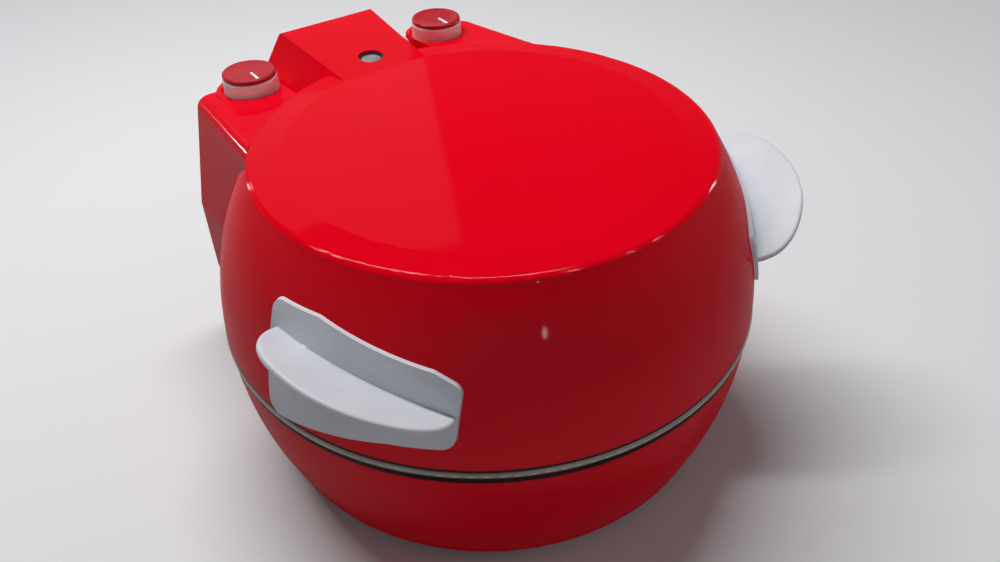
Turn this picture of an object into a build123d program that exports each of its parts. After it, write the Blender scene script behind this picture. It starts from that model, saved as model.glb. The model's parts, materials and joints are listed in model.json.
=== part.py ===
from build123d import *
import math
import os

# Countertop pizza maker: a round bowl with a stone in a steel pan, and a domed lid on a rear hinge.
# All sizes in mm. X runs left to right, Y front to back, Z up, and Z = 0 is under the feet.

# Driving dimensions; heights called rise or level are taken from the seam between lid and bowl
seam_height = 106.0
seam_radius = 174.6
lid_rise = 106.0
lid_rim_radius = seam_radius - 33.6
bowl_depth = 100.0
stone_thickness = 12.0
wall = 2.5
housing_wall = 3.0
sheet = 0.8
foot_height = 6.0
housing_half_width = 128.5
pin_radius = 3.0
knob_side = 77.0
knob_skirt_radius = 19.3
knob_cap_radius = 18.6
tube_radius = 3.3

# What follows from them: housing, neck and hinge stand behind the seam circle, controls hang from the lid
housing_rear = seam_radius + 20.4
neck_rear = seam_radius + 32.4
hinge_back = seam_radius + 15.4
hinge_rise = lid_rise - 24.0
knob_back = seam_radius + 0.4
stone_radius = seam_radius - 22.6

# Named clearances
running_gap = 0.05
rest_gap = 0.3
screw_gap = 0.05
swing_gap = 2.5

# The rolled edge of the pan shows as the ring between lid and bowl
bead_radius = 2.8
bead_circle = seam_radius - 2.2
bead_level = -1.8
bowl_rim = bead_level - bead_radius
lid_foot = bead_level + bead_radius + rest_gap

# The bounding box is centred on X = Y = 0, so the bowl's axis stands forward of it
body_y = -(neck_rear - bead_circle - bead_radius) / 2
body_axis = Axis((0, body_y, 0), (0, 0, 1))
section = Plane(origin=(0, body_y, seam_height), x_dir=(1, 0, 0), z_dir=(0, -1, 0))
hinge_point = Vector(0, body_y + hinge_back, seam_height + hinge_rise)
hinge_axis = Axis(hinge_point, (1, 0, 0))


# A point given from the bowl's axis and the seam
def point(x, y, rise):
    return Vector(x, body_y + y, seam_height + rise)


# A point on the hinge pin's axis
def pin_point(x):
    return point(x, hinge_back, hinge_rise)


def level(rise, x=0.0, y=0.0):
    return Plane(origin=point(x, y, rise))


def on_circle(radius, angle, rise):
    turn = math.radians(angle)
    return point(radius * math.cos(turn), radius * math.sin(turn), rise)


# A round bar between two points
def bar(start, end, radius, mode=Mode.ADD):
    run = end - start
    with Locations(Plane(origin=start, z_dir=run)):
        Cylinder(radius, run.length, align=(Align.CENTER, Align.CENTER, Align.MIN), mode=mode)


def post(x, y, low, high, radius, mode=Mode.ADD):
    bar(point(x, y, low), point(x, y, high), radius, mode)


def ball(centre, radius):
    with Locations(centre):
        Sphere(radius)


# A block between two corner points
def block(low, high, mode=Mode.ADD):
    with Locations((low + high) * 0.5):
        Box(high.X - low.X, high.Y - low.Y, high.Z - low.Z, mode=mode)


# Part of a ring of round bar about the bowl's axis
def ring_arc(circle_radius, bar_radius, start, span, rise):
    turn = math.radians(start)
    outward = (math.cos(turn), math.sin(turn), 0)
    with BuildSketch(Plane(origin=on_circle(circle_radius, start, rise), x_dir=outward,
                           z_dir=(-outward[1], outward[0], 0))) as bar_section:
        Circle(bar_radius)
    revolve(bar_section.sketch, axis=body_axis, revolution_arc=span)


# A turned solid from its half section, given as radius and rise
def turned(*corners, mode=Mode.ADD):
    with BuildSketch(section) as half_section:
        Polygon(*corners, align=None)
    revolve(half_section.sketch, axis=body_axis, mode=mode)


def save(builder, name):
    builder.part.label = name
    export_step(builder.part, f"parts/{name}.step")


os.makedirs("parts", exist_ok=True)

# The lid's domed outside as a solid, or its hollow when inset by the wall
flat_top_radius = lid_rim_radius - 19.0
bulge_radius = seam_radius - 10.4
bulge_rise = 0.55 * lid_rise
rim_drop = 1.3


def dome(inset):
    low = lid_foot - (6 if inset else 0)
    shoulder = (lid_rim_radius + 2.4 - inset, lid_rise - 5.0 - inset)
    rim = (lid_rim_radius - 2.2 - inset, lid_rise - rim_drop - inset)
    with BuildPart() as form:
        with BuildSketch(section):
            with BuildLine():
                ThreePointArc((seam_radius - inset, lid_foot), (bulge_radius - inset, bulge_rise), shoulder)
                ThreePointArc(shoulder, (lid_rim_radius + 0.9 - inset, lid_rise - 2.6 - inset), rim)
                Polyline(rim, (flat_top_radius, lid_rise - inset), (0, lid_rise - inset), (0, low),
                         (seam_radius - inset, low))
                if inset:
                    Line((seam_radius - inset, low), (seam_radius - inset, lid_foot))
            make_face()
        revolve(axis=body_axis)
    return form.part


# Room left in the lid for the control housing: straight sides, an upright wall under the rim and a cone below it
lid_side_cut = housing_half_width + swing_gap
lid_back_wall = lid_rim_radius + 1.0
cone_foot = seam_radius - 16.6
cone_top = lid_rise - 72.0
far = housing_rear + 65


def housing_room(grow):
    with BuildPart() as form:
        block(point(-lid_side_cut - grow, 0, -8), point(lid_side_cut + grow, far, lid_rise + 26))
        drop = 0.4 * grow
        turned((0, -10), (cone_foot - grow, -10), (cone_foot - grow, 2), (lid_back_wall - grow, cone_top - drop),
               (lid_back_wall - grow, lid_rise + 34), (0, lid_rise + 34), mode=Mode.SUBTRACT)
    return form.part


# The lid's neck between the knobs, wide at its foot and narrow on top
neck_foot = lid_rise - 42.0
neck_half_foot = 55.5
neck_front = lid_rim_radius - 45.0


def neck(inset):
    low = neck_foot - (1 if inset else 0)
    with BuildPart() as form:
        for back, half_foot, half_top, top, turn in (
                (neck_front, neck_half_foot - 1.9, 30.4, lid_rise - 1.6, lid_rise - 18.5),
                (neck_rear - inset, neck_half_foot, 37.5, lid_rise + 6.6, lid_rise - 20.0)):
            with BuildSketch(Plane(origin=point(0, back, 0), x_dir=(-1, 0, 0), z_dir=(0, 1, 0))):
                Polygon((inset - half_foot, low), (half_foot - inset, low), (half_foot - inset, turn),
                        (half_top - inset, top - inset), (inset - half_top, top - inset),
                        (inset - half_foot, turn), align=None)
        loft(ruled=True)
    return form.part


# Where the handles stand: outwards to the front corners, mirrored left and right
handle_turn = math.radians(-31.0)
handle_out = Vector(math.cos(handle_turn), math.sin(handle_turn), 0)
handle_along = Vector(math.sin(handle_turn), -math.cos(handle_turn), 0)
handle_circle = bulge_radius + 0.8
handle_rise = bulge_rise - 4.3
handle_screw_places = ((-30.0, handle_rise + 3.5), (30.0, handle_rise - 10.3))
handle_seat_depths = (7.3, 2.85)
handle_screw_radius = 1.6


def handle_point(out, along, rise):
    return point(0, 0, rise) + handle_out * out + handle_along * along


liner_screw_angles = (192, 232, 270, 308, 348)
liner_screw_circle = seam_radius - 7.1
liner_level = 2.4
lamp_back = lid_rim_radius - 2.0
lamp_hole_radius = 8.8

with BuildPart() as lid_hollow:
    add(dome(wall))
    add(housing_room(wall), mode=Mode.SUBTRACT)
    add(neck(wall))
    for angle in liner_screw_angles:
        bar(on_circle(liner_screw_circle, angle, -6), on_circle(liner_screw_circle, angle, 24), 5.2,
            Mode.SUBTRACT)

with BuildPart() as lid_shell:
    add(dome(0))
    add(housing_room(0), mode=Mode.SUBTRACT)
    add(neck(0))
    neck_back_edges = lid_shell.edges().filter_by(Axis.X).sort_by(Axis.Y)[-2:]
    fillet(neck_back_edges, 2)
    add(lid_hollow.part, mode=Mode.SUBTRACT)
    for angle in liner_screw_angles:
        pad = on_circle(liner_screw_circle, angle, liner_level + sheet)
        bar(on_circle(liner_screw_circle, angle, -6), pad, 5.4, Mode.SUBTRACT)
        bar(pad, on_circle(liner_screw_circle, angle, 16), 1.6 + screw_gap, Mode.SUBTRACT)
    post(0, lamp_back, lid_rise - 10, lid_rise + 10, lamp_hole_radius, Mode.SUBTRACT)
    bar(pin_point(-70), pin_point(70), 6, Mode.SUBTRACT)
    for side in (1, -1):
        for along, rise in handle_screw_places:
            inner = handle_point(handle_circle - 15, along, rise)
            outer = handle_point(handle_circle + 15, along, rise)
            bar(Vector(side * inner.X, inner.Y, inner.Z), Vector(side * outer.X, outer.Y, outer.Z),
                handle_screw_radius + screw_gap, Mode.SUBTRACT)
save(lid_shell, "lid_shell")

# Handles: a plate curved to the lid's wall with an upswept wing across it
plate_thickness = 2.4
wing_thickness = 4.2
wing_fall = 0.23
wing_climb = 0.42
wing_run = handle_along - Vector(0, 0, wing_fall)
wing_reach = handle_out + Vector(0, 0, wing_climb)

with BuildPart() as plate_limit:
    with BuildSketch(section):
        with BuildLine():
            plate_foot = (seam_radius + plate_thickness, lid_foot)
            plate_top = (lid_rim_radius + 2.4 + plate_thickness, lid_rise - 5.0)
            ThreePointArc(plate_foot, (bulge_radius + plate_thickness, bulge_rise), plate_top)
            Polyline(plate_top, (0, lid_rise - 5.0), (0, lid_foot), plate_foot)
        make_face()
    revolve(axis=body_axis)

# The wing's outline from front to rear, as lengths along the lid's wall and out from its root circle
with BuildPart() as wing:
    stretch = math.hypot(1, wing_climb)
    with BuildSketch(Plane(origin=handle_point(handle_circle, 0, handle_rise), x_dir=wing_run,
                           z_dir=wing_run.cross(wing_reach))):
        with BuildLine():
            Spline([(along, out * stretch) for along, out in (
                (-52.5, -4), (-52, 6), (-48, 14.5), (-41.5, 21), (-31, 27), (-15, 32.5), (2, 34.8), (20, 33),
                (38, 26.5), (50, 18.5), (57, 9), (58.5, 0), (54, -16), (2, -28), (-50, -18))], periodic=True)
        make_face()
    extrude(amount=-wing_thickness)
    fillet(wing.edges().filter_by(GeomType.BSPLINE), 1.8)

with BuildPart() as handle_right:
    with BuildSketch(Plane(origin=handle_point(handle_circle - 45, 0, bulge_rise), x_dir=handle_along,
                           z_dir=handle_along.cross(Vector(0, 0, 1)))):
        with BuildLine():
            FilletPolyline((-54.5, 18.5), (-22, 19.3), (43, 5.2), (58, -2.5), (56, -38.5), (20, -40.3),
                           (-60.5, -54.5), radius=8, close=True)
        make_face()
    extrude(amount=90, both=True)
    add(plate_limit.part, mode=Mode.INTERSECT)
    add(wing.part)
    for along, rise in handle_screw_places:
        bar(handle_point(handle_circle - 4, along, rise), handle_point(handle_circle + 8, along, rise), 3.3)
    add(dome(0), mode=Mode.SUBTRACT)
    for along, rise in handle_screw_places:
        bar(handle_point(handle_circle - 15, along, rise), handle_point(handle_circle + 7, along, rise),
            handle_screw_radius + screw_gap, Mode.SUBTRACT)
save(handle_right, "handle_right")

with BuildPart() as handle_left:
    add(handle_right.part)
    mirror(about=Plane.YZ, mode=Mode.REPLACE)
save(handle_left, "handle_left")

with BuildPart() as handle_screws:
    for (along, rise), depth in zip(handle_screw_places, handle_seat_depths):
        head_seat = handle_point(handle_circle - depth, along, rise)
        bar(head_seat, handle_point(handle_circle + 6.5, along, rise), handle_screw_radius)
        bar(handle_point(handle_circle - depth - 1.8, along, rise), head_seat, 3.2)
    mirror(about=Plane.YZ)
save(handle_screws, "handle_screws")

# Lid liner: the pressed reflector over the chamber, cut back behind for the housing
liner_top = lid_rise - 56.0
element_level = liner_top - 10.0
liner_post_angles = (45, 135, 225, 315)
clip_angles = (30, 150, 270)
outer_loop = seam_radius - 74.6
inner_loop = 0.62 * outer_loop
leg_side = 12.0
leg_backs = (math.sqrt(outer_loop ** 2 - leg_side ** 2), math.sqrt(inner_loop ** 2 - leg_side ** 2))

with BuildPart() as lid_liner:
    edge = seam_radius - 3.2
    turned((edge, liner_level), (edge - 21, liner_level), (edge - 34.8, liner_top - 20),
           (edge - 51.4, liner_top - 6), (edge - 63.4, liner_top - sheet), (0, liner_top - sheet), (0, liner_top),
           (edge - 63.8, liner_top), (edge - 51, liner_top - 5.4), (edge - 34.1, liner_top - 19.6),
           (edge - 20.5, liner_level + sheet), (edge, liner_level + sheet))
    add(housing_room(wall + 0.3), mode=Mode.SUBTRACT)
    for angle in liner_screw_angles:
        bar(on_circle(liner_screw_circle, angle, 0), on_circle(liner_screw_circle, angle, 6), 1.6 + screw_gap,
            Mode.SUBTRACT)
    for leg in leg_backs:
        post(-leg_side, leg, element_level, liner_top + 10, tube_radius + 0.1, Mode.SUBTRACT)
save(lid_liner, "lid_liner")

with BuildPart() as liner_screws:
    for angle in liner_screw_angles:
        seat = on_circle(liner_screw_circle, angle, liner_level)
        bar(seat, on_circle(liner_screw_circle, angle, 14), 1.6)
        bar(on_circle(liner_screw_circle, angle, liner_level - 1.6), seat, 3)
save(liner_screws, "liner_screws")


# A sheathed heating tube: an outer and an inner loop joined at the back, with both ends turned up or down
def heating_tube(rise, leg_end, terminal_end):
    outer_back, inner_back = leg_backs
    for loop_radius, loop_back in ((outer_loop, outer_back), (inner_loop, inner_back)):
        start = math.degrees(math.atan2(loop_back, -leg_side))
        ring_arc(loop_radius, tube_radius, start, 540 - 2 * start, rise)
        ball(point(-leg_side, loop_back, rise), tube_radius + 0.15)
        ball(point(leg_side, loop_back, rise), tube_radius + 0.15)
        post(-leg_side, loop_back, min(rise, leg_end), max(rise, leg_end), tube_radius)
        post(-leg_side, loop_back, min(leg_end, terminal_end), max(leg_end, terminal_end), 1.5)
    bar(point(leg_side, inner_back, rise), point(leg_side, outer_back, rise), tube_radius)


# Straps that hold the outer loop off the sheet it hangs from or stands on
def loop_straps(rise, sheet_face):
    low = min(rise - 5, sheet_face)
    high = max(rise + 5, sheet_face)
    for angle in clip_angles:
        turn = math.radians(angle)
        across = Vector(-math.sin(turn), math.cos(turn), 0)
        centre = on_circle(outer_loop, angle, (low + high) / 2)
        with Locations(Plane(origin=centre, x_dir=(math.cos(turn), math.sin(turn), 0))):
            Box(10, 3, high - low)
        axis_point = on_circle(outer_loop, angle, rise)
        bar(axis_point - across * 4, axis_point + across * 4, tube_radius + running_gap, Mode.SUBTRACT)


with BuildPart() as upper_element:
    heating_tube(element_level, liner_top + 10, liner_top + 17)
save(upper_element, "upper_element")

with BuildPart() as upper_element_straps:
    loop_straps(element_level, liner_top - sheet)
save(upper_element_straps, "upper_element_straps")

# Heat shield between the liner and the lid's top, on four posts
shield_level = lid_rise - 30.0
with BuildPart() as lid_heat_shield:
    with BuildSketch(level(shield_level)):
        Circle(outer_loop + 12)
        with Locations((-leg_side, 0.8 * outer_loop)):
            Rectangle(16, 0.6 * outer_loop, mode=Mode.SUBTRACT)
    extrude(amount=sheet)
save(lid_heat_shield, "lid_heat_shield")

with BuildPart() as shield_posts:
    for angle in liner_post_angles:
        bar(on_circle(0.8 * outer_loop, angle, liner_top), on_circle(0.8 * outer_loop, angle, shield_level), 3)
save(shield_posts, "shield_posts")

# Pilot lamp in the neck's foot
lamp_face = lid_rise + 0.6
with BuildPart() as lamp_holder:
    post(0, lamp_back, lid_rise - 18, lamp_face, lamp_hole_radius - 0.1)
    post(0, lamp_back, lid_rise - 7, lid_rise - 4, 12.5)
    post(0, lamp_back, lid_rise - 10, lamp_face + 1, lamp_hole_radius - 1.1, Mode.SUBTRACT)
save(lamp_holder, "lamp_holder")

with BuildPart() as lamp_lens:
    post(0, lamp_back, lid_rise - 10, lamp_face, lamp_hole_radius - 1.15)
    fillet(lamp_lens.edges().group_by(Axis.Z)[-1], 2.0)
save(lamp_lens, "lamp_lens")

# Hinge: a U bracket and two flanged bushes turn with the neck, on a pin held by the housing's cheeks
slot_half = 57.5
neck_inner = neck_half_foot - wall
bush_radius = 5.95
bracket_screw_sides = (-30, 30)
with BuildPart() as neck_cover:
    block(point(-neck_inner + 1.5, lid_back_wall + 4, neck_foot),
          point(neck_inner - 1.5, neck_rear - wall - 0.1, neck_foot + 2))
    for x in bracket_screw_sides:
        post(x, hinge_back - 14, neck_foot - 1, neck_foot + 3, 1.6 + screw_gap, Mode.SUBTRACT)
save(neck_cover, "neck_cover")

with BuildPart() as hinge_bracket:
    block(point(-48, hinge_back - 26, neck_foot + 2), point(48, hinge_back + 13, neck_foot + 3.5))
    for side in (-1, 1):
        block(point(side * 48 - 1, hinge_back - 26, neck_foot + 2),
              point(side * 48 + 1, hinge_back + 13, hinge_rise + 8))
    bar(pin_point(-60), pin_point(60), pin_radius + 0.1, Mode.SUBTRACT)
    for x in bracket_screw_sides:
        post(x, hinge_back - 14, neck_foot, neck_foot + 6, 1.6 + screw_gap, Mode.SUBTRACT)
save(hinge_bracket, "hinge_bracket")

with BuildPart() as bracket_screws:
    for x in bracket_screw_sides:
        post(x, hinge_back - 14, neck_foot - 1.4, neck_foot, 3.2)
        post(x, hinge_back - 14, neck_foot, neck_foot + 8, 1.6)
save(bracket_screws, "bracket_screws")

with BuildPart() as hinge_bushes:
    for side in (-1, 1):
        bar(pin_point(side * 49.5), pin_point(side * 55.6), bush_radius)
        bar(pin_point(side * 55.6), pin_point(side * 57.2), 7.5)
    bar(pin_point(-60), pin_point(60), pin_radius + running_gap, Mode.SUBTRACT)
save(hinge_bushes, "hinge_bushes")

with BuildPart() as hinge_pin:
    bar(pin_point(-64), pin_point(64), pin_radius)
save(hinge_pin, "hinge_pin")

with BuildPart() as pin_clips:
    for side in (-1, 1):
        bar(pin_point(side * 60.6), pin_point(side * 61.6), 4.1)
    bar(pin_point(-66), pin_point(66), pin_radius + screw_gap, Mode.SUBTRACT)
    block(point(-66, hinge_back + 0.1, hinge_rise - 12), point(66, hinge_back + 10, hinge_rise + 8),
          mode=Mode.SUBTRACT)
save(pin_clips, "pin_clips")

# Control housing behind the lid: two shoulders for the knobs and a slot between them for the neck
slot_floor = lid_rise - 54.0
top_front = (45.0, lid_rise - 2.5)
top_fall = 13.0 / 150.0
corner_radius = 8.0
top_corner_radius = 14.0
opening_half = 90.0
opening_low = -33.0
opening_high = lid_rise - 66.0
edge_round = 8.0
waist = 10.0
span = housing_half_width + 25
cover_overlap = 6.0


def housing_form(inset):
    with BuildPart() as form:
        half = housing_half_width - inset
        rear = housing_rear - inset
        with BuildSketch(level(bowl_rim - inset)) as foot_outline:
            Polygon((-half, 20), (half, 20), (half, rear), (-half, rear), align=None)
            fillet(foot_outline.vertices().sort_by(Axis.Y)[-2:], corner_radius - inset)
        extrude(amount=waist - bowl_rim + inset)
        with BuildSketch(level(waist)) as waist_outline:
            Polygon((-half, 20), (half, 20), (half, rear), (-half, rear), align=None)
            fillet(waist_outline.vertices().sort_by(Axis.Y)[-2:], corner_radius - inset)
        with BuildSketch(level(lid_rise + 2)) as top_outline:
            Polygon((0.5 - half, 20), (half - 0.5, 20), (half - 18.5, rear - 1), (18.5 - half, rear - 1),
                    align=None)
            fillet(top_outline.vertices().sort_by(Axis.Y)[-2:], top_corner_radius - inset)
        loft()
        with BuildSketch(Plane(origin=point(-span, 0, 0), x_dir=(0, 1, 0), z_dir=(1, 0, 0))):
            start, height = top_front
            Polygon((0, height + start * top_fall - inset), (far, height + (start - far) * top_fall - inset),
                    (far, lid_rise + 34), (0, lid_rise + 34), align=None)
        extrude(amount=2 * span, mode=Mode.SUBTRACT)
        fillet(form.faces().sort_by(Axis.Z)[-1].edges(), edge_round - inset)
    return form.part


# Room the lid and its neck sweep through, measured as circles about the hinge pin
sweep_circles = ((61.0, 76.0), (90.0, 91.5), (110.0, 106.8), (120.0, 116.7), (housing_half_width + 4.5, 128.5))
sweep_start = math.radians(100)
sweep_span = 122


def lid_room(grow):
    with BuildPart() as form:
        room_foot = seam_radius + 2 + grow
        room_wall = lid_back_wall + swing_gap + grow
        turned((0, bowl_rim - grow), (room_foot, bowl_rim - grow), (room_foot, 7 + grow),
               (cone_foot + 3.5 + grow, 7 + grow), (room_wall, cone_top + 4 + grow), (room_wall, lid_rise + 54),
               (0, lid_rise + 54))
        block(point(-slot_half - grow, 40, slot_floor - grow), point(slot_half + grow, far, lid_rise + 54))
        ray = (0, math.cos(sweep_start), math.sin(sweep_start))
        sweep_plane = Plane(origin=hinge_point, x_dir=(1, 0, 0), z_dir=(0, -ray[2], ray[1]))
        with BuildSketch(sweep_plane) as sweep_section:
            edge = [(x, reach - grow) for x, reach in sweep_circles]
            Polygon(*edge, (edge[-1][0], 230), (edge[0][0], 230), align=None)
            mirror(about=Plane.YZ)
        revolve(sweep_section.sketch, axis=hinge_axis, revolution_arc=sweep_span)
    return form.part


with BuildPart() as housing_hollow:
    add(housing_form(housing_wall))
    add(lid_room(housing_wall), mode=Mode.SUBTRACT)

cover_low = opening_low - cover_overlap + 0.5
cover_high = opening_high + cover_overlap
rear_screw_places = [(x, rise) for x in (-93, 0, 93) for rise in (cover_low + 3, cover_high - 3)]
pad_level = lid_rise - 14.4
boss_foot = pad_level - 6.6
housing_screw_spots = [(side * (housing_half_width - inward), housing_rear - forward)
                       for inward, forward in ((6.5, 47), (6.5, 12)) for side in (-1, 1)]
with BuildPart() as control_housing:
    add(housing_form(0))
    add(lid_room(0), mode=Mode.SUBTRACT)
    block(point(-span, 0, -30), point(span, far, bowl_rim), mode=Mode.SUBTRACT)
    add(housing_hollow.part, mode=Mode.SUBTRACT)
    for side in (-1, 1):
        post(side * knob_side, knob_back, pad_level - 3.1, pad_level + 1.4, 24.5)
        post(side * knob_side, knob_back, boss_foot, pad_level - 1.6, 9)
        post(side * knob_side, knob_back, pad_level, pad_level + 9, 21, Mode.SUBTRACT)
        post(side * knob_side, knob_back, boss_foot - 5, pad_level + 9, pin_radius + 0.4, Mode.SUBTRACT)
    for x, y in housing_screw_spots:
        post(x, y, bowl_rim, 14, 5)
        post(x, y, bowl_rim - 1, 10, 1.6 + screw_gap, Mode.SUBTRACT)
    add(lid_room(0), mode=Mode.SUBTRACT)
    block(point(-opening_half, housing_rear - 5, -10), point(opening_half, housing_rear + 5, opening_high),
          mode=Mode.SUBTRACT)
    for x, rise in rear_screw_places:
        bar(point(x, housing_rear - 7, rise), point(x, housing_rear + 5, rise), 1.6 + screw_gap,
            Mode.SUBTRACT)
    bar(pin_point(-70), pin_point(70), pin_radius + screw_gap, Mode.SUBTRACT)
save(control_housing, "control_housing")

# Bowl with the box behind it that carries the housing
box_floor = -66.0
bowl_foot = -bowl_depth
with BuildPart() as bowl_form:
    with BuildSketch(section):
        with BuildLine():
            turn_in = (seam_radius - 17.8, bowl_foot + 10)
            flat_edge = (seam_radius - 27.1, bowl_foot)
            rim_edge = (seam_radius - 0.6, bowl_rim)
            ThreePointArc(rim_edge, (seam_radius - 5.3, bowl_foot / 2), turn_in)
            ThreePointArc(turn_in, (seam_radius - 20.6, bowl_foot + 3.2), flat_edge)
            Polyline(flat_edge, (0, bowl_foot), (0, bowl_rim), rim_edge)
        make_face()
    revolve(axis=body_axis)

with BuildPart() as bowl_hollow:
    with BuildSketch(section):
        with BuildLine():
            inner_edge = (seam_radius - 0.6 - wall, bowl_rim + 1)
            inner_turn = (seam_radius - 20.4, bowl_foot + 10)
            ThreePointArc(inner_edge, (seam_radius - 7.9, bowl_foot / 2), inner_turn)
            Polyline(inner_turn, (seam_radius - 27.6, bowl_foot + 4), (seam_radius - 36.6, bowl_foot + 4),
                     (seam_radius - 36.6, bowl_foot - 10), (0, bowl_foot - 10), (0, bowl_rim + 1), inner_edge)
        make_face()
    revolve(axis=body_axis)


def box_form(inset):
    half = housing_half_width - inset
    rear = housing_rear - inset
    with BuildPart() as form:
        with BuildSketch(level(box_floor + inset)) as outline:
            Polygon((-half, 20), (half, 20), (half, rear), (-half, rear), align=None)
            fillet(outline.vertices().sort_by(Axis.Y)[-2:], corner_radius - inset)
        extrude(amount=bowl_rim - box_floor - inset + (1 if inset else 0))
        with BuildSketch(Plane(origin=point(-span, 0, 0), x_dir=(0, 1, 0), z_dir=(1, 0, 0))):
            Polygon((rear + 5, box_floor + 31), (rear + 5, box_floor - 5), (rear - 31, box_floor - 5),
                    align=None)
        extrude(amount=2 * span, mode=Mode.SUBTRACT)
    return form.part


with BuildPart() as box_hollow:
    add(box_form(housing_wall))
    add(bowl_form.part, mode=Mode.SUBTRACT)

foot_spots = [(104 * math.cos(math.radians(a)), 104 * math.sin(math.radians(a))) for a in (45, 135, 225, 315)]
cover_screw_angles = (20, 90, 160, 200, 270, 340)
cover_radius = seam_radius - 28.8
cover_screw_circle = cover_radius - 3.8
cover_sheet = 1.5
with BuildPart() as base_shell:
    add(bowl_form.part)
    add(box_form(0))
    add(bowl_hollow.part, mode=Mode.SUBTRACT)
    add(box_hollow.part, mode=Mode.SUBTRACT)
    post(0, 0, bowl_foot - 1, bowl_foot + cover_sheet, cover_radius + 0.2, Mode.SUBTRACT)
    block(point(-34, 100, -56), point(34, housing_rear - 11, -24), mode=Mode.SUBTRACT)
    block(point(-opening_half, housing_rear - 7, opening_low), point(opening_half, housing_rear + 5, 0),
          mode=Mode.SUBTRACT)
    for x, rise in rear_screw_places:
        bar(point(x, housing_rear - 7, rise), point(x, housing_rear + 5, rise), 1.6 + screw_gap,
            Mode.SUBTRACT)
    for x, y in housing_screw_spots:
        post(x, y, -26, bowl_rim, 6)
        post(x, y, -30, 0, 1.6 + screw_gap, Mode.SUBTRACT)
        post(x, y, -26, -22.4, 3.3, Mode.SUBTRACT)
    for angle in cover_screw_angles:
        bar(on_circle(cover_screw_circle, angle, bowl_foot), on_circle(cover_screw_circle, angle, -90),
            1.6 + screw_gap, Mode.SUBTRACT)
save(base_shell, "base_shell")

with BuildPart() as housing_screws:
    for x, y in housing_screw_spots:
        post(x, y, -22.4, 9, 1.6)
        post(x, y, -24.4, -22.4, 3.2)
save(housing_screws, "housing_screws")

# Rear cover with its vents, screws and the cord's gland
cover_middle = (cover_low + cover_high) / 2
rear_plane = Plane(origin=point(0, housing_rear, cover_middle), x_dir=(-1, 0, 0), z_dir=(0, 1, 0))
gland_side = 45.0
gland_level = -14.0
gland_radius = 7.0
with BuildPart() as rear_cover:
    with BuildSketch(rear_plane):
        RectangleRounded(2 * (opening_half + cover_overlap), cover_high - cover_low, 7)
        with Locations((0, 14)):
            with GridLocations(14, 0, 9, 1):
                SlotOverall(22, 4, rotation=90, mode=Mode.SUBTRACT)
        with Locations((-gland_side, gland_level - cover_middle)):
            Circle(gland_radius + 0.1, mode=Mode.SUBTRACT)
        with Locations([(-x, rise - cover_middle) for x, rise in rear_screw_places]):
            Circle(1.6 + screw_gap, mode=Mode.SUBTRACT)
    extrude(amount=2)
save(rear_cover, "rear_cover")

with BuildPart() as rear_cover_screws:
    for x, rise in rear_screw_places:
        seat = point(x, housing_rear + 2, rise)
        bar(seat - Vector(0, 4.5, 0), seat, 1.6)
        bar(seat, seat + Vector(0, 1.6, 0), 3.1)
save(rear_cover_screws, "rear_cover_screws")

with BuildPart() as cord_gland:
    for start, end, radius in ((-4, 0, 9.5), (0, 2, gland_radius), (2, 10, 9.5)):
        bar(point(gland_side, housing_rear + start, gland_level),
            point(gland_side, housing_rear + end, gland_level), radius)
    bar(point(gland_side, housing_rear - 5, gland_level), point(gland_side, housing_rear + 11, gland_level),
        3.6, Mode.SUBTRACT)
save(cord_gland, "cord_gland")

# Bottom cover, its screws and the rubber feet
with BuildPart() as bottom_cover:
    post(0, 0, bowl_foot, bowl_foot + cover_sheet, cover_radius)
    for angle in cover_screw_angles:
        bar(on_circle(cover_screw_circle, angle, bowl_foot - 1), on_circle(cover_screw_circle, angle, -90),
            1.6 + screw_gap, Mode.SUBTRACT)
    for x, y in foot_spots:
        post(x, y, bowl_foot - 1, bowl_foot + 4, 3.05, Mode.SUBTRACT)
    with BuildSketch(level(bowl_foot)):
        for reach in (40, 60):
            with PolarLocations(reach, 12):
                SlotOverall(14, 4)
    extrude(amount=cover_sheet, mode=Mode.SUBTRACT)
save(bottom_cover, "bottom_cover")

with BuildPart() as bottom_screws:
    for angle in cover_screw_angles:
        seat = on_circle(cover_screw_circle, angle, bowl_foot)
        bar(seat, seat + Vector(0, 0, 3.8), 1.6)
        bar(seat - Vector(0, 0, 1.6), seat, 3)
save(bottom_screws, "bottom_screws")

with BuildPart() as rubber_feet:
    for x, y in foot_spots:
        with Locations(point(x, y, bowl_foot - foot_height / 2)):
            Cone(10, 12, foot_height)
        post(x, y, bowl_foot, bowl_foot + 3.5, 3)
save(rubber_feet, "rubber_feet")

# Steel pan with its rolled edge, the stone on its ledge and the element below
pan_wall = seam_radius - 20.4
ledge = -20.0
ledge_edge = seam_radius - 26.6
pan_floor = -46.0
lower_level = -34.0
with BuildPart() as base_pan:
    turned((0, pan_floor), (ledge_edge - 1, pan_floor), (ledge_edge, ledge), (pan_wall, ledge),
           (pan_wall, -0.2), (bead_circle, -0.2), (bead_circle, -0.2 - sheet), (pan_wall + sheet, -0.2 - sheet),
           (pan_wall + sheet, ledge - sheet), (ledge_edge + sheet, ledge - sheet),
           (ledge_edge - 1 + sheet, pan_floor - sheet), (0, pan_floor - sheet))
    ring_arc(bead_circle, bead_radius, 0, 360, bead_level)
    for leg in leg_backs:
        post(-leg_side, leg, -60, -40, tube_radius + 0.1, Mode.SUBTRACT)
save(base_pan, "base_pan")

with BuildPart() as baking_stone:
    post(0, 0, ledge, ledge + stone_thickness, stone_radius)
    fillet(baking_stone.edges().group_by(Axis.Z)[-1], 1.5)
save(baking_stone, "baking_stone")

with BuildPart() as lower_element:
    heating_tube(lower_level, -56, -62)
save(lower_element, "lower_element")

with BuildPart() as lower_element_straps:
    loop_straps(lower_level, pan_floor)
save(lower_element_straps, "lower_element_straps")

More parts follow.
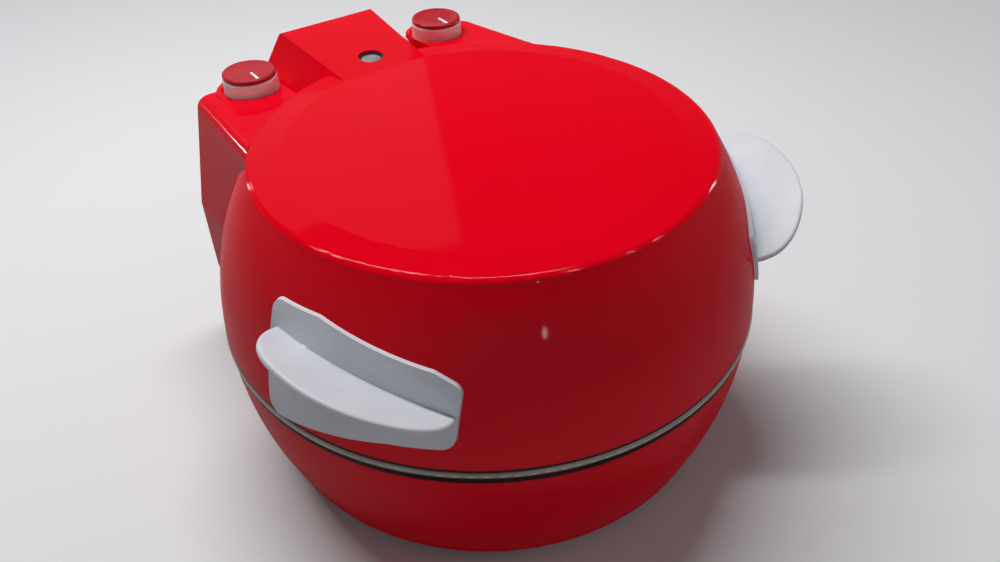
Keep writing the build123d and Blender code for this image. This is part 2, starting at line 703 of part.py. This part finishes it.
# Shield under the pan, on posts
lower_shield = -72.0
with BuildPart() as base_heat_shield:
    post(0, 0, lower_shield, lower_shield + sheet, seam_radius - 36.6)
save(base_heat_shield, "base_heat_shield")

with BuildPart() as pan_posts:
    for angle in liner_post_angles:
        bar(on_circle(120, angle, lower_shield + sheet), on_circle(120, angle, pan_floor - sheet), 3)
save(pan_posts, "pan_posts")

# Controls: timer under the left knob, thermostat under the right, each with a turning shaft
control_foot = lid_rise - 46.0
control_front = knob_back - 25
control_back = knob_back + 8
with BuildPart() as timer_body:
    block(point(-100, control_front, control_foot), point(-64, control_back, boss_foot))
    post(-knob_side, knob_back, boss_foot - 13, boss_foot + 5, pin_radius + running_gap, Mode.SUBTRACT)
    for x in (-94, -70):
        block(point(x - 3, knob_back - 15, control_foot - 7), point(x + 3, knob_back - 14.2, control_foot))
save(timer_body, "timer_body")

with BuildPart() as thermostat_body:
    step = boss_foot - 16
    block(point(64, control_front + 6, step), point(92, control_back, boss_foot))
    block(point(68, control_front + 8, step - 6), point(88, control_back - 2, step))
    post(knob_side, knob_back, boss_foot - 13, boss_foot + 5, pin_radius + running_gap, Mode.SUBTRACT)
    for x in (71, 85):
        block(point(x - 3, knob_back - 15, step - 13), point(x + 3, knob_back - 14.2, step - 6))
save(thermostat_body, "thermostat_body")

probe_level = pan_floor - 4.5
sensor_path = [point(78, knob_back + 1, boss_foot - 22), point(78, knob_back + 1, -36),
               point(26, knob_back + 1, -40), point(26, 150, probe_level - 5.5),
               point(26, 104, probe_level - 5.5), point(26, 96, probe_level)]
with BuildPart() as sensor_tube:
    for start, end in zip(sensor_path, sensor_path[1:]):
        bar(start, end, 1.2)
    for corner in sensor_path[1:]:
        ball(corner, 1.3)
    bar(point(26, 96, probe_level), point(26, 40, probe_level), 3.5)
save(sensor_tube, "sensor_tube")

with BuildPart() as thermal_fuse:
    block(point(-52, 20, pan_floor - sheet - 6), point(-28, 28, pan_floor - sheet))
save(thermal_fuse, "thermal_fuse")

with BuildPart() as terminal_block:
    block(point(-70, housing_rear - 14, -24), point(-30, housing_rear, -10))
    for x in (-62, -50, -38):
        post(x, housing_rear - 8, -14, 0, 2.5, Mode.SUBTRACT)
save(terminal_block, "terminal_block")

# Knobs: a pale fluted skirt round a hub, and a glossy cap with a raised pointer
skirt_foot = lid_rise - 14.0
cap_foot = skirt_foot + 10.6
cap_top = cap_foot + 3.2
for name, side in (("timer", -1), ("thermostat", 1)):
    with BuildPart() as skirt:
        with Locations(point(side * knob_side, knob_back, skirt_foot)):
            Cone(knob_skirt_radius, knob_skirt_radius - 0.5, cap_foot - skirt_foot,
                 align=(Align.CENTER, Align.CENTER, Align.MIN))
        post(side * knob_side, knob_back, skirt_foot, cap_foot - 2, 16.4, Mode.SUBTRACT)
        post(side * knob_side, knob_back, skirt_foot, cap_foot, 6)
        post(side * knob_side, knob_back, skirt_foot, cap_foot - 1, pin_radius + running_gap, Mode.SUBTRACT)
        with BuildSketch(level(skirt_foot, side * knob_side, knob_back)):
            with PolarLocations(knob_skirt_radius + 0.1, 40):
                Rectangle(1.1, 1.1, rotation=45)
        extrude(amount=cap_foot - skirt_foot - 1.2, mode=Mode.SUBTRACT)
    save(skirt, f"{name}_knob_skirt")

    with BuildPart() as cap:
        post(side * knob_side, knob_back, cap_foot, cap_top, knob_cap_radius)
        fillet(cap.edges().group_by(Axis.Z)[-1], 1.2)
        block(point(side * knob_side - 1.2, knob_back - 16, cap_top - 0.5),
              point(side * knob_side + 1.2, knob_back - 4, cap_top + 0.5))
    save(cap, f"{name}_knob_cap")

    with BuildPart() as shaft:
        post(side * knob_side, knob_back, boss_foot - 12.8, cap_foot - 1.2, pin_radius)
    save(shaft, f"{name}_shaft")
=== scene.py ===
import json
import math

import bmesh
import bpy
from mathutils import Matrix, Vector


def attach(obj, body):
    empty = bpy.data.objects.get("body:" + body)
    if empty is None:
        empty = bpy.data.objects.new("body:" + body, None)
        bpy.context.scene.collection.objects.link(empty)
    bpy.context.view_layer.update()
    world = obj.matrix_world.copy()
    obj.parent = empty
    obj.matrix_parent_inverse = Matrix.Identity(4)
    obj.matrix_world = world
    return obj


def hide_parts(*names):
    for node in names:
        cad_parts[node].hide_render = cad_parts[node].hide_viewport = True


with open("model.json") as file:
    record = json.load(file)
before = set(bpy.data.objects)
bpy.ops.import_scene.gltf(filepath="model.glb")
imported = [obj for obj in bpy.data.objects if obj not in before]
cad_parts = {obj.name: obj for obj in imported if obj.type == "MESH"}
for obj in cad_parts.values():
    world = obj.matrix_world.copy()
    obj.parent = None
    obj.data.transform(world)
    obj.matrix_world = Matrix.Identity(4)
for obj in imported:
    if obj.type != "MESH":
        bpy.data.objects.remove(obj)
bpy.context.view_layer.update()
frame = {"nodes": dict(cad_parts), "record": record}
nodes = frame["nodes"]
scene = bpy.context.scene
scene.view_settings.view_transform = "Standard"
print("frame loaded,", len(nodes), "nodes")

# Sizes are in mm from the bowl's axis and from the seam between lid and bowl: x, y and rise
mm = 0.001
bodyY = -15.9  # the bowl's axis stands this far forward of the middle of the whole
seamHeight = 106.0


def at(x, y, rise):
    return Vector((x * mm, (bodyY + y) * mm, (seamHeight + rise) * mm))


# Camera, found from the seam and rim circles in the photograph. Angles are in radians
photoView = {"azimuth": -0.603, "elevation": 0.666, "roll": -0.029, "distance": 580.9,
             "target": (-9.47, -27.49, 14.37), "lens": 32.4, "sensor": 36.0}


def addCamera(view):
    side, tilt, roll = view["azimuth"], view["elevation"], view["roll"]
    away = Vector((math.sin(side) * math.cos(tilt), -math.cos(side) * math.cos(tilt), math.sin(tilt)))
    right = Vector((math.cos(side), math.sin(side), 0))
    up = away.cross(right)
    across = right * math.cos(roll) + up * math.sin(roll)
    top = up * math.cos(roll) - right * math.sin(roll)
    lens = bpy.data.cameras.new("photoCamera")
    lens.lens = view["lens"]
    lens.sensor_width = view["sensor"]
    camera = bpy.data.objects.new("photoCamera", lens)
    stand = Matrix.Translation(at(*view["target"]) + away * view["distance"] * mm)
    camera.matrix_world = stand @ Matrix((across, top, away)).transposed().to_4x4()
    scene.collection.objects.link(camera)
    scene.camera = camera


addCamera(photoView)
print("camera placed")


# Materials
noiseSpan = (0.3, 0.7)  # the values that Blender's noise seldom leaves
noiseRoughness = 0.55


def linear(hexColour):
    channels = [int(hexColour[i:i + 2], 16) / 255 for i in (0, 2, 4)]
    return [c / 12.92 if c <= 0.04045 else ((c + 0.055) / 1.055) ** 2.4 for c in channels] + [1.0]


def addNode(tree, kind, settings=None, links=None):
    node = tree.nodes.new(kind)
    for name, value in (settings or {}).items():
        if isinstance(name, int) or name in node.inputs:
            node.inputs[name].default_value = value
        else:
            setattr(node, name, value)
    for name, socket in (links or {}).items():
        tree.links.new(socket, node.inputs[name])
    return node


def newMaterial(name, settings):
    material = bpy.data.materials.new(name)
    material.use_nodes = True
    tree = material.node_tree
    shader = tree.nodes["Principled BSDF"]
    for socket, value in settings.items():
        shader.inputs[socket].default_value = value
    place = addNode(tree, "ShaderNodeTexCoord").outputs["Object"]
    return material, tree, shader, place


def mottle(tree, place, patternMm, detail, low, high, span=noiseSpan):
    # a cloudy value between low and high
    cloud = addNode(tree, "ShaderNodeTexNoise",
                    {"Scale": 1 / (patternMm * mm), "Detail": detail, "Roughness": noiseRoughness},
                    {"Vector": place})
    return addNode(tree, "ShaderNodeMapRange",
                   {"From Min": span[0], "From Max": span[1], "To Min": low, "To Max": high},
                   {"Value": cloud.outputs["Fac"]}).outputs["Result"]


def mottledColour(tree, place, patternMm, detail, firstHex, secondHex):
    return addNode(tree, "ShaderNodeMix", {"data_type": "RGBA", 6: linear(firstHex), 7: linear(secondHex)},
                   {0: mottle(tree, place, patternMm, detail, 0.0, 1.0)}).outputs[2]


def ringPlace(tree, place):
    # radius and height only, so a pattern runs round the bowl's axis as spun lines do
    parts = addNode(tree, "ShaderNodeSeparateXYZ", {}, {"Vector": place})
    depth = addNode(tree, "ShaderNodeMath", {"operation": "SUBTRACT", 1: bodyY * mm}, {0: parts.outputs["Y"]})
    flat = addNode(tree, "ShaderNodeCombineXYZ", {}, {"X": parts.outputs["X"], "Y": depth.outputs[0]})
    radius = addNode(tree, "ShaderNodeVectorMath", {"operation": "LENGTH"}, {0: flat.outputs["Vector"]})
    return addNode(tree, "ShaderNodeCombineXYZ", {},
                   {"X": radius.outputs["Value"], "Z": parts.outputs["Z"]}).outputs["Vector"]


def rimmedColour(tree, place, colour, rim):
    # painted shade for the shadowed gaps above and below the bead at the seam lies where three soft limits
    # meet: foot, top and reach
    seamParts = addNode(tree, "ShaderNodeSeparateXYZ", {}, {"Vector": ringPlace(tree, place)})
    limits = []
    for axis, base, limit, first, last in (("Z", seamHeight, "foot", 0.0, 1.0),
                                           ("Z", seamHeight, "top", 1.0, 0.0), ("X", 0.0, "reach", 1.0, 0.0)):
        start, end = rim[limit]
        limits.append(addNode(tree, "ShaderNodeMapRange",
                              {"From Min": (base + start) * mm, "From Max": (base + end) * mm,
                               "To Min": first, "To Max": last}, {"Value": seamParts.outputs[axis]}))
    band = addNode(tree, "ShaderNodeMath", {"operation": "MULTIPLY"},
                   {0: limits[0].outputs["Result"], 1: limits[1].outputs["Result"]})
    mask = addNode(tree, "ShaderNodeMath", {"operation": "MULTIPLY"},
                   {0: band.outputs[0], 1: limits[2].outputs["Result"]})
    return addNode(tree, "ShaderNodeMix", {"data_type": "RGBA", 7: linear(rim["hex"])},
                   {0: mask.outputs[0], 6: colour}).outputs[2]


def grainedColour(tree, place, colour, grog):
    # only the peaks of a fine pattern show, as separate grains
    grains = mottle(tree, place, grog["pattern"], grog["detail"], 0.0, 1.0, grog["peaks"])
    return addNode(tree, "ShaderNodeMix", {"data_type": "RGBA", 7: linear(grog["hex"])},
                   {0: grains, 6: colour}).outputs[2]


def makeFinish(look):
    material, tree, shader, place = newMaterial(look["name"], look["shader"])
    colour = mottledColour(tree, place, *look["tint"])
    # the enamel gets a dark band of painted shade at the seam gaps
    if "rim" in look:
        colour = rimmedColour(tree, place, colour, look["rim"])
    if "grog" in look:
        colour = grainedColour(tree, place, colour, look["grog"])
    tree.links.new(colour, shader.inputs["Base Color"])
    along = ringPlace(tree, place) if look.get("spun") else place
    if "rough" in look:
        tree.links.new(mottle(tree, along, *look["rough"]), shader.inputs["Roughness"])
    if "relief" in look:
        patternMm, detail, depthMm, strength = look["relief"]
        height = addNode(tree, "ShaderNodeTexNoise",
                         {"Scale": 1 / (patternMm * mm), "Detail": detail, "Roughness": noiseRoughness},
                         {"Vector": along})
        bump = addNode(tree, "ShaderNodeBump", {"Strength": strength, "Distance": depthMm * mm},
                       {"Height": height.outputs["Fac"]})
        tree.links.new(bump.outputs["Normal"], shader.inputs["Normal"])
        if "Coat Weight" in look["shader"]:
            tree.links.new(bump.outputs["Normal"], shader.inputs["Coat Normal"])
    return material


# Each pattern starts with its size in mm and its detail. A tint then has two colours, rough has the
# smoothest and roughest value, and relief has a depth in mm and a strength. Patterns finer than about
# 0.6 mm wouldn't show, so moulded grain and spun lines are drawn that coarse
looks = {
    # baked enamel on pressed steel, even deep red under a clear wet-looking face with faint orange peel.
    # A dark band of painted shade stands for the shadowed gaps above and below the bead at the seam: foot and
    # top are rises, and reach is a radius, which keeps it off the box behind
    "red_enamel": {
        "name": "bakedEnamel",
        "shader": {"Specular IOR Level": 0.0, "Coat Weight": 0.2, "Coat IOR": 1.5, "Coat Roughness": 0.06},
        "tint": (60.0, 3.0, "DB0018", "E0001C"), "rough": (14.0, 6.0, 0.2, 0.32),
        "relief": (5.0, 2.0, 0.012, 1.0),
        "rim": {"hex": "1E0406", "foot": (-8.6, -7.6), "top": (2.4, 3.2), "reach": (175.2, 175.6)}},
    # gloss moulded ABS, dyed to match the enamel, a touch softer in its shine
    "red_plastic": {
        "name": "glossAbs",
        "shader": {"Specular IOR Level": 0.0, "Coat Weight": 0.2, "Coat IOR": 1.5, "Coat Roughness": 0.1},
        "tint": (40.0, 3.0, "DC001A", "E2001E"), "rough": (10.0, 6.0, 0.25, 0.35),
        "relief": (7.0, 2.0, 0.01, 1.0)},
    # moulded ABS of the knob caps, a deeper red with a plain polished shine
    "cap": {
        "name": "capAbs", "shader": {"Specular IOR Level": 0.2, "IOR": 1.5},
        "tint": (6.0, 3.0, "AC0A1C", "B80E22"), "rough": (2.5, 5.0, 0.14, 0.26),
        "relief": (3.0, 2.0, 0.01, 1.0)},
    # satin moulded polypropylene, pale blue grey, its spark-eroded grain scatters the highlights
    "grey_plastic": {
        "name": "satinPolypropylene", "shader": {"IOR": 1.49},
        "tint": (22.0, 4.0, "C5C7CF", "CFD1D8"), "rough": (4.0, 5.0, 0.42, 0.56),
        "relief": (0.7, 2.0, 0.02, 0.6)},
    # white moulded acetal of the knob skirts, waxy and half matt
    "white_plastic": {
        "name": "whiteAcetal", "shader": {"IOR": 1.48},
        "tint": (9.0, 4.0, "F4F1F1", "FAF8F8"), "rough": (2.0, 4.0, 0.34, 0.46)},
    # black moulded ABS with a coarse tool texture, dull, for the rear cover and the lamp's holder
    "black_plastic": {
        "name": "blackTexturedAbs", "shader": {"IOR": 1.5},
        "tint": (12.0, 4.0, "141415", "1C1C1E"), "rough": (3.0, 4.0, 0.42, 0.58),
        "relief": (0.8, 2.0, 0.03, 0.7)},
    # pressed stainless sheet, spun to a satin, so its shine is drawn out across lines that run round
    "satin_steel": {
        "name": "spunStainless", "shader": {"Metallic": 1.0}, "spun": True,
        "tint": (30.0, 5.0, "A8A199", "BBB4AB"), "rough": (0.6, 2.0, 0.28, 0.46),
        "relief": (0.6, 2.0, 0.02, 0.5)},
    # the same sheet where its edge is rolled, given a darker tint
    "bead": {
        "name": "rolledStainless", "shader": {"Metallic": 1.0}, "spun": True,
        "tint": (30.0, 5.0, "7A736A", "898178"), "rough": (0.6, 2.0, 0.3, 0.44),
        "relief": (0.6, 2.0, 0.02, 0.5)},
    # aluminised steel sheet, dull and slightly spangled
    "bright_sheet": {
        "name": "aluminisedSheet", "shader": {"Metallic": 1.0},
        "tint": (9.0, 6.0, "B2B3B3", "CACBCC"), "rough": (3.0, 3.0, 0.34, 0.5)},
    # zinc-plated steel of screws, pins and brackets, bluish and lightly clouded
    "hardware": {
        "name": "zincPlate", "shader": {"Metallic": 1.0},
        "tint": (6.0, 5.0, "A9ABAD", "C4C6C8"), "rough": (1.5, 4.0, 0.26, 0.45)},
    # nickel alloy sheath of a heating tube, drawn, then gone dark and matt with heat
    "element_sheath": {
        "name": "heatedSheath", "shader": {"Metallic": 0.7},
        "tint": (16.0, 6.0, "2E2925", "4A423A"), "rough": (1.2, 4.0, 0.45, 0.65),
        "relief": (0.9, 3.0, 0.03, 0.6)},
    # unglazed pressed cordierite, chalky warm buff with darker grog grains about 1 mm across
    "stone": {
        "name": "cordieriteStone", "shader": {"IOR": 1.5, "Roughness": 0.9},
        "tint": (45.0, 5.0, "CDB993", "DCCBA8"), "relief": (1.3, 5.0, 0.15, 0.8),
        "grog": {"pattern": 1.1, "detail": 2.0, "peaks": (0.58, 0.68), "hex": "9C8460"}},
    # smoked polycarbonate, moulded, over the pilot lamp: greyish, with a little light let through
    "lens": {
        "name": "smokedLens", "shader": {"IOR": 1.58, "Transmission Weight": 0.25},
        "tint": (3.0, 3.0, "8E8A8C", "A5A1A3"), "rough": (1.0, 3.0, 0.2, 0.34)},
    # moulded rubber of feet and cord grommet, nearly black and quite matt
    "foot_rubber": {
        "name": "mouldedRubber", "shader": {"IOR": 1.52},
        "tint": (5.0, 4.0, "1A1A1A", "262524"), "rough": (1.0, 3.0, 0.65, 0.85)},
    # natural acetal of the turned bushes, creamy and a little see-through
    "bush_plastic": {
        "name": "naturalAcetal", "shader": {"IOR": 1.48, "Roughness": 0.35, "Subsurface Weight": 0.1},
        "tint": (4.0, 3.0, "DAD7CB", "E6E3D9")},
}
finishes = {slotName: makeFinish(look) for slotName, look in looks.items()}
for entry in frame["record"]["subparts"]:
    for slot in nodes[entry["node"]].material_slots:
        slot.material = finishes[entry["material_slot"]]
print("materials made")


# Pieces: each is new mesh about an upright axis or placed beside it, and rides on its body
sharpAngle = 32  # in degrees: steeper folds stay crisp


def newObject(name, bm, finish, body):
    bmesh.ops.recalc_face_normals(bm, faces=bm.faces)
    mesh = bpy.data.meshes.new(name)
    bm.to_mesh(mesh)
    bm.free()
    mesh.shade_smooth()
    mesh.set_sharp_from_angle(angle=math.radians(sharpAngle))
    piece = bpy.data.objects.new(name, mesh)
    scene.collection.objects.link(piece)
    mesh.materials.append(finish)
    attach(piece, body)
    return piece


def addRing(bm, centre, radius, rise, segments, ribs, depth):
    made = bmesh.ops.create_circle(bm, segments=segments, radius=1.0)
    for corner in made["verts"]:
        turn = math.atan2(corner.co.y, corner.co.x)
        groove = (0.5 - 0.5 * math.cos(ribs * turn)) ** 2.5  # 0 on a rib, 1 in the groove between two
        reach = radius - depth * groove
        corner.co = at(centre[0] + reach * math.cos(turn), centre[1] + reach * math.sin(turn), rise)
    return list({edge for corner in made["verts"] for edge in corner.link_edges})


def addLoops(bm, centre, loops, segments, ribs=0):
    # loops from one end of the section to the other: radius, rise and rib depth
    last = None
    for radius, rise, depth in loops:
        ring = addRing(bm, centre, radius, rise, segments, ribs, depth)
        if last:
            bmesh.ops.bridge_loops(bm, edges=last + ring)
        last = ring
    bmesh.ops.edgenet_fill(bm, edges=[edge for edge in bm.edges if edge.is_boundary])


# Knobs: where their axes stand
knobAxes = {"timer": (-77.0, 175.0), "thermostat": (77.0, 175.0)}

# Knob skirt: a ribbed cup with a hub inside. Edges are inset from the radius, step up from the foot or
# down from the top, and rib depth
skirt = {"foot": 92.0, "high": 10.6, "radius": 19.3, "inside": 16.4, "web": 2.0, "hub": 6.0,
         "bore": 3.05, "boreCover": 1.0, "ribs": 64, "segmentsPerRib": 6,
         "footEdge": [(0.35, 0.0, 0.2), (0.05, 0.3, 0.35), (0.1, 1.0, 0.42)],
         "topEdge": [(0.4, 1.7, 0.42), (0.42, 1.3, 0.1), (0.45, 1.1, 0), (0.5, 0.35, 0), (0.75, 0.0, 0)]}

# Knob cap: a low disc with a rounded edge and a slightly dished face. Edges are inset and step
cap = {"foot": 102.6, "high": 3.2, "radius": 18.6, "segments": 96,
       "footEdge": [(1.3, 0.0), (1.2, 0.45), (0.25, 0.55), (0.0, 0.85)],
       "topEdge": [(0.0, 1.3), (0.25, 0.65), (0.8, 0.15), (1.5, 0.0), (2.4, 0.05), (4.0, 0.28), (9.0, 0.42),
                   (17.6, 0.48)]}

# Pointer: pale insert let into the cap, from near its middle to its front edge, narrower at the middle
pointer = {"forward": 10.0, "long": 12.0, "wide": 2.0, "innerShare": 0.75, "outerShare": 1.1,
           "sunk": 0.9, "proud": 0.3, "edge": 0.28}


def addSkirt(name, axis, look):
    foot, top, wide = look["foot"], look["foot"] + look["high"], look["radius"]
    loops = [(look["bore"], top - look["boreCover"], 0), (look["bore"], foot, 0),
             (look["hub"], foot, 0), (look["hub"], top - look["web"], 0),
             (look["inside"], top - look["web"], 0), (look["inside"], foot, 0)]
    loops += [(wide - inset, foot + step, depth) for inset, step, depth in look["footEdge"]]
    loops += [(wide - inset, top - step, depth) for inset, step, depth in look["topEdge"]]
    bm = bmesh.new()
    addLoops(bm, axis, loops, look["ribs"] * look["segmentsPerRib"], look["ribs"])
    piece = newObject(name + "Skirt", bm, finishes["white_plastic"], name + "_knob")
    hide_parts(name + "_knob_skirt")


def discLoops(look):
    foot, top, wide = look["foot"], look["foot"] + look["high"], look["radius"]
    return ([(wide - inset, foot + step, 0) for inset, step in look["footEdge"]]
            + [(wide - inset, top - step, 0) for inset, step in look["topEdge"]])


def addCap(name, axis, look):
    bm = bmesh.new()
    addLoops(bm, axis, discLoops(look), look["segments"])
    piece = newObject(name + "Cap", bm, finishes["cap"], name + "_knob")
    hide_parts(name + "_knob_cap")


def addPointer(name, axis, look, seat):
    face = seat["foot"] + seat["high"]
    low, high = face - look["sunk"], face + look["proud"]
    bm = bmesh.new()
    bmesh.ops.create_cube(bm, size=1.0)
    for corner in bm.verts:
        share = look["innerShare"] if corner.co.y > 0 else look["outerShare"]
        corner.co = at(axis[0] + corner.co.x * look["wide"] * share,
                       axis[1] - look["forward"] + corner.co.y * look["long"],
                       low + (corner.co.z + 0.5) * (high - low))
    bmesh.ops.bevel(bm, geom=bm.edges[:], offset=look["edge"] * mm, affect="EDGES", segments=3, profile=0.5,
                    material=-1)
    newObject(name + "Pointer", bm, finishes["white_plastic"], name + "_knob")


for name, axis in knobAxes.items():
    addSkirt(name, axis, skirt)
    addCap(name, axis, cap)
    addPointer(name, axis, pointer, cap)
print("knobs made")


# Bead: the pan's rolled edge, the ring that shows between lid and bowl
bead = {"circle": 171.8, "radius": 3.4, "rise": -1.8, "sides": 28, "steps": 720}


def addBead(look):
    bm = bmesh.new()
    start = Matrix.Translation(at(look["circle"], 0, look["rise"]))
    bmesh.ops.create_circle(bm, segments=look["sides"], radius=look["radius"] * mm,
                            matrix=start @ Matrix.Rotation(math.radians(90), 4, "X"))
    bmesh.ops.spin(bm, geom=bm.verts[:] + bm.edges[:], cent=at(0, 0, 0), axis=(0, 0, 1),
                   angle=math.radians(360), steps=look["steps"], use_merge=True)
    newObject("panBead", bm, finishes["bead"], "base")


addBead(bead)
print("bead made")


# Lens: slightly crowned, with a softened edge, set below the neck's face
lens = {"back": 139.0, "foot": 96.0, "high": 10.6, "radius": 7.65, "segments": 72,
        "footEdge": [(0.2, 0.0), (0.0, 0.2)],
        "topEdge": [(0.0, 2.0), (0.25, 1.3), (0.8, 0.8), (1.8, 0.4), (3.6, 0.12), (6.85, 0.0)]}


def addLens(look):
    bm = bmesh.new()
    addLoops(bm, (0.0, look["back"]), discLoops(look), look["segments"])
    piece = newObject("pilotLens", bm, finishes["lens"], "lid")
    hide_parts("lamp_lens")


addLens(lens)
print("lens made")


# Stage, in metres: a pale floor that fades into the room, the room and the lamps
stage = {"floorSize": 12.0, "floorHex": "E2E2E4", "bounceHex": "909092", "farHex": "BFC0C3",
         "farStart": 0.5, "farEnd": 1.8, "roomHex": "C9CCD0", "roomStrength": 0.15,
         "horizonLow": 0.1, "horizonHigh": 0.5}


def seenDirectly(tree):
    # 1 for what the camera, a shiny face or glass sees, 0 for light that the stage throws on the object
    path = addNode(tree, "ShaderNodeLightPath").outputs
    either = addNode(tree, "ShaderNodeMath", {"operation": "MAXIMUM"},
                     {0: path["Is Camera Ray"], 1: path["Is Glossy Ray"]})
    return addNode(tree, "ShaderNodeMath", {"operation": "MAXIMUM"},
                   {0: either.outputs[0], 1: path["Is Transmission Ray"]}).outputs[0]


def addFloor(look):
    bm = bmesh.new()
    bmesh.ops.create_grid(bm, x_segments=1, y_segments=1, size=look["floorSize"])
    mesh = bpy.data.meshes.new("floor")
    bm.to_mesh(mesh)
    bm.free()
    floor = bpy.data.objects.new("floor", mesh)
    scene.collection.objects.link(floor)
    # matt pale paper, with no grain that would show: darker for the light it throws back
    material, tree, shader, place = newMaterial("palePaper", {"Roughness": 0.9, "Specular IOR Level": 0.1})
    seen = seenDirectly(tree)
    paper = addNode(tree, "ShaderNodeMix",
                    {"data_type": "RGBA", 6: linear(look["bounceHex"]), 7: linear(look["floorHex"])},
                    {0: seen})
    tree.links.new(paper.outputs[2], shader.inputs["Base Color"])
    distance = addNode(tree, "ShaderNodeVectorMath", {"operation": "LENGTH"}, {0: place})
    far = addNode(tree, "ShaderNodeMapRange",
                  {"From Min": look["farStart"], "From Max": look["farEnd"], "To Min": 0.0, "To Max": 1.0},
                  {"Value": distance.outputs["Value"]})
    fade = addNode(tree, "ShaderNodeMath", {"operation": "MULTIPLY"}, {0: seen, 1: far.outputs["Result"]})
    glow = addNode(tree, "ShaderNodeEmission", {"Color": linear(look["farHex"]), "Strength": 1.0})
    mixed = addNode(tree, "ShaderNodeMixShader", {},
                    {0: fade.outputs[0], 1: shader.outputs[0], 2: glow.outputs[0]})
    tree.links.new(mixed.outputs[0], tree.nodes["Material Output"].inputs["Surface"])
    mesh.materials.append(material)


def addRoom(look):
    world = bpy.data.worlds.new("studio")
    scene.world = world
    world.use_nodes = True
    tree = world.node_tree
    shader = tree.nodes["Background"]
    direction = addNode(tree, "ShaderNodeTexCoord").outputs["Generated"]
    upward = addNode(tree, "ShaderNodeSeparateXYZ", {}, {"Vector": direction})
    low = addNode(tree, "ShaderNodeMapRange",  # pale near the floor, dim overhead
                  {"From Min": look["horizonLow"], "From Max": look["horizonHigh"],
                   "To Min": 1.0, "To Max": 0.0}, {"Value": upward.outputs["Z"]})
    pale = addNode(tree, "ShaderNodeMath", {"operation": "MULTIPLY"},
                   {0: seenDirectly(tree), 1: low.outputs["Result"]})
    colour = addNode(tree, "ShaderNodeMix",
                     {"data_type": "RGBA", 6: linear(look["roomHex"]), 7: linear(look["farHex"])},
                     {0: pale.outputs[0]})
    strength = addNode(tree, "ShaderNodeMapRange", {"To Min": look["roomStrength"], "To Max": 1.0},
                       {"Value": pale.outputs[0]})
    tree.links.new(colour.outputs[2], shader.inputs["Color"])
    tree.links.new(strength.outputs["Result"], shader.inputs["Strength"])


# Lamps, in metres, degrees and watts. One that isn't mirrored gives light and no highlight, and one that is
# shineOnly gives a highlight and no general light
lamps = [
    {"name": "overhead", "place": (-0.02, 0.6, 1.7), "aim": (0, 0, 0.1), "size": (1.6, 0.16), "power": 30,
     "turn": -34.5},
    {"name": "frontFill", "place": (-1.0, -1.5, 0.28), "aim": (0, 0, 0.12), "size": (0.8, 0.8), "power": 4.4,
     "mirrored": False},
    {"name": "rightFill", "place": (1.3, -0.9, 0.35), "aim": (0, 0, 0.15), "size": (0.6, 0.6), "power": 2.4,
     "mirrored": False},
    {"name": "rightEdge", "place": (1.52, -0.14, 0.6), "aim": (0.07, -0.13, 0.21), "size": (0.07, 0.34),
     "power": 5.0, "shineOnly": True},
    {"name": "rimGlintRight", "place": (1.02, -0.78, 1.13), "aim": (0.01, -0.16, 0.21), "size": (0.08, 0.05),
     "power": 4.0, "shineOnly": True},
    {"name": "rimGlintSmall", "place": (0.76, -0.91, 1.26), "aim": (-0.01, -0.16, 0.21), "size": (0.03, 0.03),
     "power": 1.0, "shineOnly": True},
    {"name": "rimGlintFront", "place": (0.23, -0.97, 1.45), "aim": (-0.04, -0.15, 0.21), "size": (0.1, 0.04),
     "power": 4.0, "shineOnly": True},
    {"name": "rimGlintLeft", "place": (-0.57, 1.43, 0.45), "aim": (-0.13, 0.01, 0.21), "size": (0.06, 0.06),
     "power": 3.0, "shineOnly": True},
    {"name": "frontGlint", "place": (-0.42, -1.71, 0.43), "aim": (-0.06, -0.17, 0.18), "size": (0.04, 0.12),
     "power": 0.35},
    {"name": "backGlint", "place": (-0.2, 1.5, 0.95), "aim": (-0.1, 0.0, 0.2), "size": (0.08, 0.08),
     "power": 0.8},
    {"name": "backPanel", "place": (0.3, 1.4, 1.0), "aim": (-0.05, 0.0, 0.2), "size": (0.9, 0.6),
     "power": 0.9},
]


def addLamp(look):
    light = bpy.data.lights.new(look["name"], "AREA")
    light.shape = "RECTANGLE"
    light.size, light.size_y = look["size"]
    light.energy = look["power"]
    lamp = bpy.data.objects.new(look["name"], light)
    lamp.location = look["place"]
    lamp.visible_glossy = look.get("mirrored", True)
    lamp.visible_diffuse = not look.get("shineOnly", False)
    facing = (Vector(look["aim"]) - Vector(look["place"])).to_track_quat("-Z", "Y").to_matrix()
    lamp.rotation_euler = (facing @ Matrix.Rotation(math.radians(look.get("turn", 0)), 3, "Z")).to_euler()
    scene.collection.objects.link(lamp)


addFloor(stage)
addRoom(stage)
for look in lamps:
    addLamp(look)
print("stage lit")
